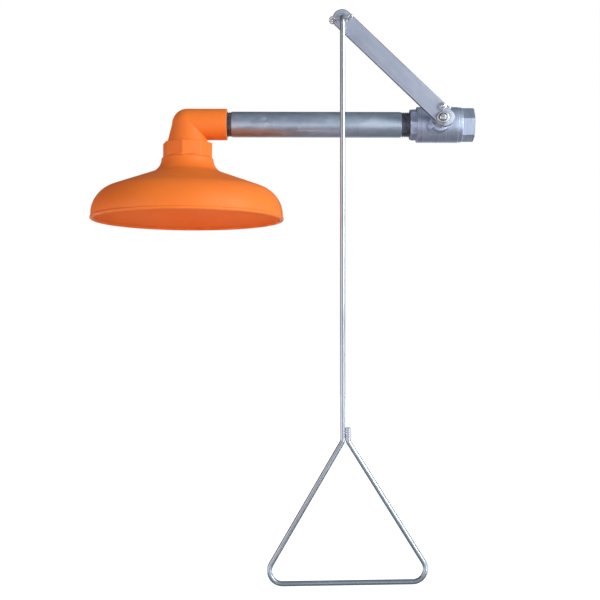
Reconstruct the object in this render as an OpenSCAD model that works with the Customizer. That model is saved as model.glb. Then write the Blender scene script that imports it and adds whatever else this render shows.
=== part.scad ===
// Emergency safety shower for a horizontal supply.
// Origin: centre of the supply valve's inlet face. +X points out of the inlet,
// towards the supply; +Z is up; the lever and the pull rod are on the -Y side.
// Millimetres. Pipe threads are drawn as plain cylinders at their pitch radius.

/* [Pipe thread, 1 inch taper] */
// Pitch radius of the pipe thread at its mouth
npt_r = 15.6; // [12:0.1:20]
// Radial play on each side of a drawn thread
thread_play = 0.03; // [0.02:0.01:0.1]
// Depth of a threaded socket
socket_depth = 19; // [15:0.5:24]
// How far a threaded end is screwed in
thread_grip = 17; // [12:0.5:18]

/* [Arm pipe] */
// Outer radius of the pipe
pipe_r = 16.7; // [16:0.1:21]
// Bore radius of the pipe
pipe_bore_r = 13.3; // [9:0.1:14]
// Length of pipe seen between the elbow and the valve
pipe_shown = 238; // [120:1:400]
// Bare thread showing beside the elbow
bare_thread_elbow = 6.5; // [2:0.5:15]
// Bare thread showing beside the valve
bare_thread_valve = 12; // [2:0.5:15]

/* [Valve] */
// Length of the valve body without its retainer
body_l = 74.5; // [70:0.5:95]
// Radius of the valve body
body_r = 23.2; // [22.5:0.1:30]
// Corner radius of the hexagon at the inlet end
hex_r = 22.3; // [20:0.1:30]
// Length of the hexagon at the inlet end
hex_l = 15; // [8:0.5:22]
// Turn of the hexagon about the pipe line
hex_turn = -12.7; // [-30:0.1:30]
// Distance from the inlet face to the stem
stem_x = 46; // [44:0.5:52]
// Radius of the ball
ball_r = 16.5; // [15:0.1:17]
// Radius of the waterway through ball, seats and ends
port_r = 10; // [7:0.1:11]
// Thickness of the water seat rings
seat_t = 5.5; // [4.5:0.1:6.5]
// Radial play around the seats, ball and stem
valve_play = 0.05; // [0.03:0.01:0.1]
// Wall between the ball chamber and the outside of the body
chamber_wall = 5.2; // [4:0.1:7]
// Radius of the retainer's screwed part
retainer_r = 19.5; // [18.8:0.1:21]
// Corner radius of the retainer's flange
flange_r = 20.6; // [20:0.1:28]
// Thickness of the retainer's flange
flange_t = 8.8; // [5:0.1:12]

/* [Stem] */
// Radius of the stem
stem_r = 5; // [4:0.1:6]
// Height of the stem boss above the pipe line
boss_top = 30; // [28:0.5:36]
// Radius of the stem boss
boss_r = 13; // [11:0.1:16]
// Depth of the packing chamber
packing_room = 8.5; // [7:0.1:9]
// Across-flats radius of the gland nut
gland_flat_r = 8.6; // [7:0.1:10]
// Height of the gland nut's hexagon
gland_h = 7; // [4:0.1:9]

/* [Lever] */
// Distance from the stem to the rod hole, along the lever
lever_l = 180; // [120:1:240]
// Width of the lever bar
lever_w = 24.4; // [21:0.1:32]
// Thickness of the lever bar
lever_t = 4.8; // [3:0.1:6]
// Clear height from the gland nut to the lever
lever_lift = 5; // [3:0.1:10]
// How far the stem sits from the lever's centre line
stem_offset = 3.8; // [0:0.1:5]
// Length of lever past the stem before its round end
lever_tail = 1.7; // [0:0.1:8]
// Slope of the closed lever above the pipe line
lever_slope = 43.9; // [30:0.1:60]
// Across-flats radius of the lever nut
nut_flat_r = 7.3; // [6:0.1:9]
// Height of the lever nut
nut_h = 7; // [4:0.1:9]
// Distance from the stem to the stop screw
stop_pitch = 15; // [14.5:0.1:18]
// Radius of the stop screw's shank
stop_r = 2.5; // [1.5:0.1:3]
// Radius of the stop screw's head
stop_head_r = 4.2; // [3.5:0.1:5]
// Gap left between the stop screw and an ear at each limit
stop_gap = 0.3; // [0.1:0.1:1]
// Width of the stop ears on the valve body
ear_w = 6.4; // [4:0.1:8]

/* [Pull rod] */
// Radius of the rod
rod_r = 3.2; // [2.5:0.1:4.5]
// Height from the rod hole down to the handle's bottom bar
rod_drop = 709; // [500:1:900]
// Radius of the rod's bend into the lever
top_bend_r = 8; // [6:0.5:14]
// Radial play of the rod in the lever hole
rod_play = 0.08; // [0.02:0.01:0.1]
// Width of the triangle between its sharp corners
handle_w = 217.5; // [160:0.5:300]
// Height of the triangle from its bends to its bottom bar
handle_h = 174; // [130:0.5:240]
// Lean of the triangle to one side
handle_lean = 0.9; // [0:0.1:3]
// Radius of the two bottom corners
corner_r = 16; // [10:0.5:30]
// Radius of the two bends at the top of the triangle
neck_bend_r = 9; // [6:0.5:14]
// Length of the welded rod end beside the rod
stub_l = 17; // [10:0.5:40]
// Gap between the rod and its welded end
stub_gap = 0.2; // [0.1:0.1:1]
// Radius of the washers on the rod
washer_r = 7; // [6:0.1:10]
// Thickness of all the washers
washer_t = 1.5; // [1:0.1:2.5]
// Radius of the split pins
pin_r = 1.5; // [1:0.1:1.8]

/* [Shower head] */
// Radius of the head at its rim bead
rim_r = 125.5; // [100:0.5:160]
// Depth of the rim below the pipe line
rim_drop = 125.5; // [115:0.5:150]
// Radius of the round rim bead
bead_r = 2.2; // [1.5:0.1:4]
// Wall of the bell
bell_wall = 2.6; // [2:0.1:4]
// Radius of the neck below the boss
neck_r = 33.9; // [30:0.1:40]
// Slope of the bell's roof
roof_slope = 20; // [12:1:24]
// Lean of the skirt from level
skirt_slope = 78; // [70:1:86]
// Depth below the pipe line where the roof would meet the neck
roof_drop = 59.4; // [57:0.1:66]
// Radius of the hollow curve from the neck to the roof
neck_curve_r = 22; // [10:0.5:24]
// Radius of the round shoulder
shoulder_r = 37; // [20:0.5:42]
// Corner radius of the eight-sided boss
octagon_r = 32.8; // [32:0.1:38]
// Top of the boss, below the pipe line
octagon_top = 25; // [23:0.5:30]
// Height of the boss
octagon_h = 21; // [19:0.5:26]
// Turn of the boss about the head's own axis
octagon_turn = 15; // [0:1:45]
// Radius of the hole in the head's inner floor
floor_hole_r = 14; // [10:0.5:18]

/* [Elbow] */
// Outer radius of the elbow
elbow_r = 20.4; // [19:0.1:26]
// Radius of the elbow's foot on the boss
foot_r = 26.6; // [24:0.1:30]
// Distance from the head's axis to the elbow's open face
elbow_reach = 51.5; // [46:0.5:80]
// Waterway radius in the elbow
elbow_bore_r = 12.5; // [9:0.1:14]
// Radius of the threaded spigot that holds the head
spigot_r = 21; // [18:0.1:24]
// Length of the spigot
spigot_l = 13.8; // [10:0.1:15]

/* [Flow control and deflector] */
// Thickness of the flow control disc
control_t = 3.6; // [2.5:0.1:4]
// Orifice radius of the flow control
orifice_r = 5.5; // [3:0.1:8]
// Radius of the deflector
deflector_r = 36; // [20:0.5:38]
// Thickness of the deflector
deflector_t = 2.5; // [1.5:0.1:4]
// Height of the posts that hold the deflector
post_h = 20; // [10:0.5:24]
// Distance of the posts from the head's axis
post_pitch = 24; // [20:0.5:25.5]

/* [Hidden] */
$fn = 64;

orange = [0.93, 0.43, 0.12];
steel = [0.78, 0.8, 0.84];
plated = [0.6, 0.65, 0.72];
zinc = [0.55, 0.6, 0.68];
seal_white = [0.92, 0.92, 0.9];
black_rubber = [0.12, 0.12, 0.13];

socket_r = npt_r + thread_play;
male_r = npt_r - thread_play;
valve_end_x = body_l + flange_t;
elbow_face_x = valve_end_x + pipe_shown;
head_x = elbow_face_x + elbow_reach;
face_gap = 0.05;

// Ball chamber, measured from the stem along the pipe line
seat_far = ball_r * 0.88;
seat_near = seat_far - seat_t;
chamber_r = body_r - chamber_wall;
nose_x = stem_x + seat_far + face_gap;

// Heights above the pipe line, along the stem
slot_floor = ball_r - 4;
tang_half = 2.4;
shoulder_low = ball_r + 0.2;
shoulder_high = shoulder_low + 1.8;
collar_r = 7.5;
pocket_top = shoulder_high + 1;
packing_floor = boss_top - packing_room;
packing_h = 4.5;
gland_top = boss_top + gland_h;
lever_back = gland_top + lever_lift;
lever_front = lever_back + lever_t;
lock_front = lever_front + face_gap + washer_t;
nut_front = lock_front + face_gap + nut_h;
stem_end = nut_front + 2;
flat_half = stem_r * 0.72;
ear_top = lever_back - 2;
stop_turn = asin((stop_head_r + ear_w / 2 + stop_gap) / stop_pitch);

// Lever directions, seen from the lever side
along = [-cos(lever_slope), sin(lever_slope)];
across = [sin(lever_slope), cos(lever_slope)];
hole_at = [-stem_x, 0] + stem_offset * across + lever_l * along;

// Rod stations along the lever hole
washer_front = lever_front + face_gap + washer_t;
washer_back = lever_back - face_gap - washer_t;
pin_front = washer_front + face_gap + pin_r;
pin_back = washer_back - face_gap - pin_r;
tail_end = pin_back - 4;
rod_y = pin_front + 2 + top_bend_r;
bar_z = hole_at[1] - rod_drop;
neck_z = bar_z + handle_h;
stub_x = 2 * rod_r + stub_gap;
// Bends are drawn a hair thinner, so that they end inside the straight lengths
rod_bend_r = rod_r - 0.03;
bend_lap = 0.3;

// Head levels, below the pipe line
octagon_end = octagon_top + octagon_h;
floor_top = octagon_end - 2;
floor_end = octagon_end + 2;
post_end = floor_end + post_h;
spigot_end = octagon_top + spigot_l;
control_top = floor_top - control_t;
bore_r = spigot_r + thread_play;
post_r = 3.4;
screw_r = 1.5;

// Points of an arc that rounds corner b between a and c
function rounded(a, b, c, r, steps = 10) =
    let (u = (a - b) / norm(a - b), v = (c - b) / norm(c - b))
    let (half = acos(u * v) / 2, bis = (u + v) / norm(u + v))
    let (centre = b + bis * r / sin(half))
    let (p = b + u * r / tan(half), q = b + v * r / tan(half))
    let (a0 = atan2(p[1] - centre[1], p[0] - centre[0]))
    let (a1 = atan2(q[1] - centre[1], q[0] - centre[0]))
    let (turn = (a1 - a0 + 540) % 360 - 180)
    [for (i = [0:steps]) centre + r * [cos(a0 + turn * i / steps), sin(a0 + turn * i / steps)]];

// The bell's roof, neck and skirt lines, moved inwards by w
function roof_at(r, w) = -roof_drop - tan(roof_slope) * (r - neck_r) - w / cos(roof_slope);
function skirt_base_r(w) = rim_r - bead_r * 0.8 - w / sin(skirt_slope);
function shoulder_corner(w) =
    let (k = tan(skirt_slope), m = tan(roof_slope), base = skirt_base_r(w))
    let (r = (k * base + roof_at(0, w) + rim_drop) / (k + m))
    [r, roof_at(r, w)];

// Places a child on the stem axis with its +Z along the stem, outwards
module on_stem(h = 0) {
    translate([-stem_x, -h, 0]) rotate([90, 0, 0]) children();
}

// A cylinder along +X from x0 to x1
module along_x(x0, x1, r) {
    translate([x0, 0, 0]) rotate([0, 90, 0]) cylinder(h = x1 - x0, r = r);
}

module ring(outer, inner, h) {
    difference() {
        cylinder(h = h, r = outer);
        translate([0, 0, -1]) cylinder(h = h + 2, r = inner);
    }
}

module torus(major, minor) {
    rotate_extrude() translate([major, 0]) circle(minor);
}

module hex_prism(flat_r, h) {
    cylinder(h = h, r = flat_r / cos(30), $fn = 6);
}

// A hexagon nut with its outer face bevelled
module hex_nut(flat_r, h, bore) {
    difference() {
        intersection() {
            hex_prism(flat_r, h);
            union() {
                cylinder(h = h - flat_r * 0.12, r = flat_r * 1.2);
                translate([0, 0, h - flat_r * 0.12])
                    cylinder(h = flat_r * 0.12, r1 = flat_r * 1.2, r2 = flat_r);
            }
        }
        translate([0, 0, -1]) cylinder(h = h + 2, r = bore);
    }
}

// Bell of the head, turned about the Z axis
module bell() {
    top = [neck_r, -octagon_end];
    neck_out = [neck_r, -roof_drop];
    neck_in = [neck_r - bell_wall, roof_at(neck_r - bell_wall, bell_wall)];
    shoulder_out = shoulder_corner(0);
    shoulder_in = shoulder_corner(bell_wall);
    rim_out = [skirt_base_r(0), -rim_drop];
    rim_in = [skirt_base_r(bell_wall), -rim_drop];
    neck_fit = min(neck_curve_r, (roof_drop - octagon_end) / tan((90 - roof_slope) / 2));
    rotate_extrude($fn = 128) polygon(concat(
        [[floor_hole_r, -floor_top], [neck_r - 1, -floor_top], top],
        rounded(top, neck_out, shoulder_out, neck_fit),
        rounded(neck_out, shoulder_out, rim_out, shoulder_r),
        [rim_out, rim_in],
        rounded(rim_in, shoulder_in, neck_in, shoulder_r - bell_wall),
        rounded(shoulder_in, neck_in, [neck_in[0], -floor_end], bell_wall * 2),
        [[neck_in[0], -floor_end], [floor_hole_r, -floor_end]]));
    translate([0, 0, bead_r - rim_drop]) torus(rim_r - bead_r, bead_r, $fn = 128);
}

module posts(r, z0, z1) {
    for (i = [0:2]) {
        rotate([0, 0, i * 120 + 90]) translate([post_pitch, 0, z0]) cylinder(h = z1 - z0, r = r);
    }
}

module shower_head() {
    color(orange) translate([-head_x, 0, 0]) difference() {
        union() {
            rotate([0, 0, octagon_turn]) translate([0, 0, -octagon_end])
                cylinder(h = octagon_h, r = octagon_r, $fn = 8);
            bell();
            posts(post_r, -post_end, -floor_end + 1);
        }
        translate([0, 0, -floor_top]) cylinder(h = octagon_end, r = bore_r);
        posts(screw_r, -post_end - 1, -post_end + 9);
    }
}

module inlet_elbow() {
    color(orange) translate([-head_x, 0, 0]) difference() {
        union() {
            along_x(0, elbow_reach, elbow_r);
            sphere(elbow_r);
            translate([0, 0, -octagon_top]) cylinder(h = octagon_top, r1 = foot_r, r2 = elbow_r);
            translate([0, 0, -spigot_end]) cylinder(h = spigot_end, r = spigot_r);
        }
        along_x(0, elbow_reach, elbow_bore_r);
        sphere(elbow_bore_r);
        along_x(elbow_reach - socket_depth, elbow_reach + 1, socket_r);
        translate([0, 0, -spigot_end - 1]) cylinder(h = spigot_end + 1, r = elbow_bore_r);
    }
}

module elbow_gasket() {
    gasket_t = control_top - spigot_end - 2 * face_gap;
    color(black_rubber) translate([-head_x, 0, face_gap - control_top])
        ring(spigot_r - 0.5, elbow_bore_r + 2, gasket_t);
}

module flow_control() {
    color(seal_white) translate([-head_x, 0, -floor_top]) difference() {
        cylinder(h = control_t, r = spigot_r - 0.3);
        translate([0, 0, -1]) cylinder(h = control_t + 2, r = orifice_r);
        translate([0, 0, control_t - 2]) cylinder(h = 3, r = orifice_r + 3);
    }
}

module flow_ring() {
    color(black_rubber) translate([-head_x, 0, face_gap - floor_top + control_t - 2])
        ring(orifice_r + 3 - face_gap, orifice_r - 1, 1.8);
}

module deflector() {
    color(seal_white) translate([-head_x, 0, -post_end - face_gap - deflector_t]) difference() {
        union() {
            cylinder(h = deflector_t, r1 = deflector_r - 1, r2 = deflector_r);
            translate([0, 0, deflector_t]) cylinder(h = 8, r1 = post_pitch - post_r - 4, r2 = 3);
        }
        posts(screw_r + 0.2, -1, deflector_t + 1);
    }
}

module deflector_screws() {
    color(steel) translate([-head_x, 0, -post_end - face_gap - deflector_t]) {
        posts(screw_r - face_gap, -face_gap, deflector_t + 8);
        posts(3, -2 - face_gap, -face_gap);
    }
}

module arm_pipe() {
    left = -elbow_face_x - thread_grip;
    right = -valve_end_x + thread_grip;
    color(zinc) difference() {
        union() {
            along_x(left, right, male_r);
            along_x(-elbow_face_x + bare_thread_elbow, -valve_end_x - bare_thread_valve, pipe_r);
        }
        along_x(left - 1, right + 1, pipe_bore_r);
    }
}

// One ear that the stop screw comes to rest against
module stop_ear(angle) {
    inner = gland_flat_r / cos(30) + 0.6;
    rotate([0, 0, angle]) translate([inner, -ear_w / 2, 0])
        cube([stop_pitch + stop_head_r - inner, ear_w, ear_top - chamber_r - 1]);
}

module valve_body() {
    color(plated) difference() {
        union() {
            along_x(-body_l, -hex_l, body_r);
            rotate([hex_turn, 0, 0]) translate([-hex_l - 1, 0, 0]) rotate([0, 90, 0])
                cylinder(h = hex_l + 1, r = hex_r, $fn = 6);
            on_stem() cylinder(h = boss_top, r = boss_r);
            on_stem(chamber_r + 1) {
                stop_ear(90 - stop_turn);
                stop_ear(180 + stop_turn);
            }
        }
        along_x(-socket_depth, 1, socket_r);
        along_x(-stem_x, 0, port_r);
        along_x(-nose_x, -stem_x + seat_far + face_gap, chamber_r);
        along_x(-body_l - 1, -nose_x, retainer_r + thread_play);
        on_stem() cylinder(h = pocket_top, r = collar_r + valve_play);
        on_stem() cylinder(h = boss_top + 1, r = stem_r + valve_play);
        on_stem(packing_floor) cylinder(h = packing_room + 1, r = gland_flat_r);
    }
}

module valve_retainer() {
    color(plated) difference() {
        union() {
            along_x(-body_l - 1, -nose_x, retainer_r);
            translate([-valve_end_x, 0, 0]) rotate([0, 90, 0]) intersection() {
                cylinder(h = flange_t - face_gap, r = flange_r, $fn = 8);
                cylinder(h = flange_t, r1 = flange_r - 0.6, r2 = flange_r + 4);
            }
        }
        along_x(-valve_end_x - 1, -nose_x + 1, port_r);
        along_x(-valve_end_x - 1, -valve_end_x + socket_depth, socket_r);
        translate([-nose_x - 3.8, 0, 0]) rotate([0, 90, 0]) ring(retainer_r + 1, retainer_r - 2.1, 2.4);
    }
}

module retainer_oring() {
    color(black_rubber) translate([-nose_x - 2.6, 0, 0]) rotate([0, 90, 0]) torus(retainer_r - 1.05, 1);
}

// A seat ring on one side of the ball; side is 1 towards the inlet
module seat(side) {
    color(seal_white) translate([-stem_x, 0, 0]) difference() {
        rotate([0, 90 * side, 0]) translate([0, 0, seat_near])
            cylinder(h = seat_t, r = chamber_r - valve_play);
        along_x(-ball_r * 2, ball_r * 2, port_r);
        sphere(ball_r + valve_play);
    }
}

module inlet_seat() {
    seat(1);
}

module outlet_seat() {
    seat(-1);
}

module stem_thrust_washer() {
    color(seal_white) on_stem(shoulder_high + face_gap)
        ring(collar_r - 0.1, stem_r + valve_play, pocket_top - shoulder_high - 2 * face_gap);
}

module stem_packing() {
    color(seal_white) on_stem(packing_floor) ring(gland_flat_r - valve_play, stem_r + valve_play, packing_h);
}

module gland_nut() {
    color(plated) on_stem(packing_floor + packing_h + face_gap) difference() {
        union() {
            cylinder(h = packing_room - packing_h, r = gland_flat_r - thread_play);
            translate([0, 0, packing_room - packing_h]) hex_prism(gland_flat_r, gland_h - face_gap);
        }
        translate([0, 0, -1]) cylinder(h = packing_room + gland_h, r = stem_r + valve_play);
    }
}

// The ball is drawn closed: its waterway stands upright
module ball() {
    color(steel) translate([-stem_x, 0, 0]) difference() {
        sphere(ball_r);
        translate([0, 0, -ball_r - 1]) cylinder(h = 2 * ball_r + 2, r = port_r);
        translate([-tang_half - face_gap, -ball_r - 1, -ball_r])
            cube([2 * (tang_half + face_gap), ball_r + 1 - slot_floor, 2 * ball_r]);
    }
}

// Flats across the stem line up with the lever
module between_flats(half, z0, z1) {
    rotate([0, 0, -lever_slope]) translate([-stem_r * 2, -half, z0]) cube([stem_r * 4, 2 * half, z1 - z0]);
}

module stem() {
    color(steel) on_stem() union() {
        intersection() {
            translate([-tang_half, -collar_r, slot_floor + face_gap])
                cube([2 * tang_half, 2 * collar_r, shoulder_low - slot_floor]);
            cylinder(h = shoulder_high, r = collar_r);
        }
        translate([0, 0, shoulder_low]) cylinder(h = shoulder_high - shoulder_low, r = collar_r);
        translate([0, 0, shoulder_low]) cylinder(h = lever_back - shoulder_low, r = stem_r);
        intersection() {
            translate([0, 0, lever_back - 1]) cylinder(h = lever_t + 1, r = stem_r);
            between_flats(flat_half, lever_back - 1, lever_front);
        }
        translate([0, 0, lever_front]) cylinder(h = stem_end - lever_front - 1, r = stem_r - 1);
        translate([0, 0, stem_end - 1]) cylinder(h = 1, r1 = stem_r - 1, r2 = stem_r - 1.8);
    }
}

// Outline of the lever bar with the stem at the origin and the rod hole up its length
module lever_outline() {
    end_r = lever_w / 2;
    translate([-lever_tail, 0]) circle(end_r);
    translate([lever_l, 0]) circle(end_r);
    translate([-lever_tail, -end_r]) square([lever_l + lever_tail, lever_w]);
}

module lever() {
    color(steel) on_stem(lever_back) difference() {
        rotate([0, 0, 180 - lever_slope]) translate([0, -stem_offset, 0])
            linear_extrude(lever_t) lever_outline();
        intersection() {
            translate([0, 0, -1]) cylinder(h = lever_t + 2, r = stem_r + valve_play);
            between_flats(flat_half + valve_play, -2, lever_t + 2);
        }
        translate([0, stop_pitch, -1]) cylinder(h = lever_t + 2, r = stop_r + valve_play);
        translate([hole_at[0] + stem_x, hole_at[1], -1]) cylinder(h = lever_t + 2, r = rod_r + rod_play);
    }
}

module lever_lock_washer() {
    color(steel) on_stem(lever_front + face_gap) ring(nut_flat_r + 1.6, stem_r - 1 + valve_play, washer_t);
}

module lever_nut() {
    color(steel) on_stem(lock_front + face_gap) rotate([0, 0, 12])
        hex_nut(nut_flat_r, nut_h, stem_r - 1 + thread_play);
}

module stop_screw() {
    head_h = lever_back - ear_top + 3;
    color(steel) on_stem() translate([0, stop_pitch, 0]) {
        translate([0, 0, lever_back - face_gap - head_h]) cylinder(h = head_h, r = stop_head_r);
        translate([0, 0, lever_back - 1]) cylinder(h = lever_t + 5, r = stop_r);
    }
}

module stop_nut() {
    color(steel) on_stem(lever_front + face_gap) translate([0, stop_pitch, 0]) rotate([0, 0, 20])
        hex_nut(stop_r * 1.75, 3.6, stop_r + thread_play);
}

// A straight piece of rod in the XZ plane, from point a to point b, lapping onto the bends
module rod_straight(a, b) {
    d = b - a;
    translate([a[0], 0, a[1]]) rotate([0, 90 - atan2(d[1], d[0]), 0])
        translate([0, 0, -bend_lap]) cylinder(h = norm(d) + 2 * bend_lap, r = rod_r);
}

// Distance from a bent corner to the start of its bend
function bend_leg(a, b, c, r) =
    let (u = (a - b) / norm(a - b), v = (c - b) / norm(c - b)) r / tan(acos(u * v) / 2);

// The bend that rounds corner b between a and c
module rod_bend(a, b, c, r) {
    u = (a - b) / norm(a - b);
    v = (c - b) / norm(c - b);
    half = acos(u * v) / 2;
    middle = (u + v) / norm(u + v);
    centre = b + middle * r / sin(half);
    facing = atan2(-middle[1], -middle[0]);
    translate([centre[0], 0, centre[1]]) rotate([90, 0, 0]) rotate([0, 0, facing - 90 + half])
        rotate_extrude(angle = 180 - 2 * half) translate([r, 0]) circle(rod_bend_r);
}

// Corner points of the pull rod, from its top down and round the triangle
function leaned(p) = let (c = [stub_x / 2, neck_z], d = p - c)
    c + [d[0] * cos(handle_lean) - d[1] * sin(handle_lean),
        d[0] * sin(handle_lean) + d[1] * cos(handle_lean)];
rod_points = [
    [0, hole_at[1] - top_bend_r],
    [0, neck_z],
    leaned([stub_x / 2 - handle_w / 2, bar_z]),
    leaned([stub_x / 2 + handle_w / 2, bar_z]),
    [stub_x, neck_z],
    [stub_x, neck_z + stub_l]];
bend_radii = [0, neck_bend_r, corner_r, corner_r, neck_bend_r, 0];

module pull_rod() {
    last = len(rod_points) - 1;
    legs = [for (i = [0:last]) i == 0 || i == last ? 0
        : bend_leg(rod_points[i - 1], rod_points[i], rod_points[i + 1], bend_radii[i])];
    color(steel) translate([hole_at[0], -rod_y, 0]) difference() {
        union() {
            for (i = [0:last - 1]) {
                a = rod_points[i];
                b = rod_points[i + 1];
                d = (b - a) / norm(b - a);
                rod_straight(a + d * legs[i], b - d * legs[i + 1]);
            }
            for (i = [1:last - 1]) {
                rod_bend(rod_points[i - 1], rod_points[i], rod_points[i + 1], bend_radii[i]);
            }
            translate([0, top_bend_r, hole_at[1] - top_bend_r]) rotate([90, 0, -90])
                rotate_extrude(angle = 90) translate([top_bend_r, 0]) circle(rod_bend_r);
            translate([0, top_bend_r - bend_lap, hole_at[1]]) rotate([-90, 0, 0])
                cylinder(h = rod_y - top_bend_r - tail_end + bend_lap, r = rod_r);
        }
        for (p = [pin_front, pin_back]) {
            translate([-rod_r * 2, rod_y - p, hole_at[1]]) rotate([0, 90, 0])
                cylinder(h = rod_r * 4, r = pin_r + face_gap);
        }
    }
}

module handle_weld() {
    weld_l = stub_l - neck_bend_r / 2;
    color(plated) translate([hole_at[0], -rod_y, neck_z + neck_bend_r / 2]) difference() {
        for (side = [-1, 1]) {
            translate([stub_x / 2, side * rod_r * 0.62, 0]) cylinder(h = weld_l - 2, r = rod_r * 0.62);
        }
        for (x = [0, stub_x]) {
            translate([x, 0, -1]) cylinder(h = weld_l + 2, r = rod_r + 0.02);
        }
        translate([0, -0.3, -1]) cube([stub_x, 0.6, weld_l + 2]);
    }
}

module rod_washers() {
    color(steel) translate([hole_at[0], 0, hole_at[1]]) rotate([90, 0, 0]) {
        translate([0, 0, lever_front + face_gap]) ring(washer_r, rod_r + rod_play, washer_t);
        translate([0, 0, washer_back]) ring(washer_r, rod_r + rod_play, washer_t);
    }
}

// A split pin along X: eye on the left, spread ends on the right
module split_pin() {
    eye_r = pin_r * 1.9;
    wire_r = pin_r * 0.7;
    pin_l = 2 * washer_r + 6;
    rotate([0, 90, 0]) translate([0, 0, -pin_l / 2]) cylinder(h = pin_l, r = pin_r);
    translate([-pin_l / 2 - eye_r, 0, 0]) rotate([90, 0, 0]) torus(eye_r, wire_r, $fn = 32);
    for (side = [-1, 1]) {
        translate([pin_l / 2, 0, 0]) rotate([0, 90 - 40 * side, 0])
            cylinder(h = pin_r * 3.4, r = wire_r, $fn = 24);
    }
}

module split_pins() {
    color(steel) for (p = [pin_front, pin_back]) {
        translate([hole_at[0], -p, hole_at[1]]) split_pin();
    }
}

shower_head();
inlet_elbow();
elbow_gasket();
flow_control();
flow_ring();
deflector();
deflector_screws();
arm_pipe();
valve_body();
valve_retainer();
retainer_oring();
inlet_seat();
outlet_seat();
stem_thrust_washer();
stem_packing();
gland_nut();
ball();
stem();
lever();
lever_lock_washer();
lever_nut();
stop_screw();
stop_nut();
pull_rod();
handle_weld();
rod_washers();
split_pins();
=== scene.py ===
import math

import bmesh
import bpy
from mathutils import Matrix, Vector


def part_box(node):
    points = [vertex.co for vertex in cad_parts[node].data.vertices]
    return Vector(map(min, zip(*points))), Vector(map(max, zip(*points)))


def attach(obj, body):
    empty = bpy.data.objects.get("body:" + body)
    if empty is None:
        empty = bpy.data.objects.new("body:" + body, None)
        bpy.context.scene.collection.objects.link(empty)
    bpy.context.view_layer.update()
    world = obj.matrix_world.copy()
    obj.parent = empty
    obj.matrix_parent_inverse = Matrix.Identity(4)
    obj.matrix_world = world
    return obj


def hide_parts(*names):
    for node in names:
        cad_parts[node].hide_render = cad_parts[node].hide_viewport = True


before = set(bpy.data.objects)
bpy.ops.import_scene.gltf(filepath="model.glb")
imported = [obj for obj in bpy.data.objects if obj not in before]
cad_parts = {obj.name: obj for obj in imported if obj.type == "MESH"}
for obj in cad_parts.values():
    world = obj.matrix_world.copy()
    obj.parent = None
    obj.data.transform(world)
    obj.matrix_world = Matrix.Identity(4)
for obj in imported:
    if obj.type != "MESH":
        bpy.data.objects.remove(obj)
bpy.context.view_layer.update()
scene = bpy.context.scene
mm = 0.001
unmoved = Matrix.Identity(4)
pipePlace = Matrix.Rotation(math.pi / 2, 4, "Y")  # turns +Z into +X
print("frame loaded:", len(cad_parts), "nodes")


class Tie:  # one output of a material, ready for arithmetic
    def __init__(self, finish, socket):
        self.finish, self.socket = finish, socket

    def work(self, operation, first, second):
        return self.finish.add("ShaderNodeMath", {"operation": operation}, [first, second])

    def __add__(self, other):
        return self.work("ADD", self, other)

    def __mul__(self, other):
        return self.work("MULTIPLY", self, other)

    def __sub__(self, other):
        return self.work("SUBTRACT", self, other)

    def __rsub__(self, other):
        return self.work("SUBTRACT", other, self)


class Finish:  # one material and the nodes behind it
    def __init__(self, name, **fixed):
        self.material = bpy.data.materials.new(name)
        self.material.use_nodes = True
        self.tree = self.material.node_tree
        self.shader = self.tree.nodes["Principled BSDF"]
        for socket, value in fixed.items():
            self.shader.inputs[socket.replace("_", " ")].default_value = value
        self.place = self.add("ShaderNodeTexCoord", {}, [], "Object")

    def add(self, kind, settings, sockets, output=0):
        node = self.tree.nodes.new(kind)
        for key, value in settings.items():
            setattr(node, key, value)
        pairs = sockets.items() if isinstance(sockets, dict) else enumerate(sockets)
        for key, value in pairs:
            if isinstance(value, Tie):
                self.tree.links.new(value.socket, node.inputs[key])
            else:
                node.inputs[key].default_value = value
        return Tie(self, node.outputs[output])

    def stretched(self, scale, turn=(0, 0, 0)):
        turned = self.add("ShaderNodeMapping", {}, {"Vector": self.place, "Rotation": turn})
        return self.add("ShaderNodeMapping", {}, {"Vector": turned, "Scale": scale})

    def noise(self, scale, detail=3, roughness=0.5, at=None):
        sockets = {"Vector": at or self.place, "Scale": scale, "Detail": detail,
                   "Roughness": roughness}
        return self.add("ShaderNodeTexNoise", {}, sockets, "Fac")

    def cells(self, scale, output="Distance"):
        return self.add("ShaderNodeTexVoronoi", {}, {"Vector": self.place, "Scale": scale}, output)

    def fade(self, value, low, high, start=0.0, end=1.0):
        return self.add("ShaderNodeMapRange", {}, [value, low, high, start, end])

    def blend(self, mask, first, second):
        sockets = {0: mask, 6: first, 7: second}
        return self.add("ShaderNodeMix", {"data_type": "RGBA"}, sockets, 2)

    def dress(self, colour, roughness=None, height=None, depth=None, metallic=None):
        links = {"Base Color": colour, "Roughness": roughness, "Metallic": metallic}
        if height is not None:
            sockets = {"Distance": depth, "Height": height}
            links["Normal"] = self.add("ShaderNodeBump", {}, sockets)
        for socket, tie in links.items():
            if tie is not None:
                self.tree.links.new(tie.socket, self.shader.inputs[socket])
        return self.material


def tint(red, green, blue):
    return (red, green, blue, 1)


orangeTints = {
    "deep": tint(0.74, 0.152, 0.017), "bright": tint(0.78, 0.182, 0.021),
    "dull": tint(0.66, 0.124, 0.018), "dust": tint(0.55, 0.09, 0.03),
}


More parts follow.
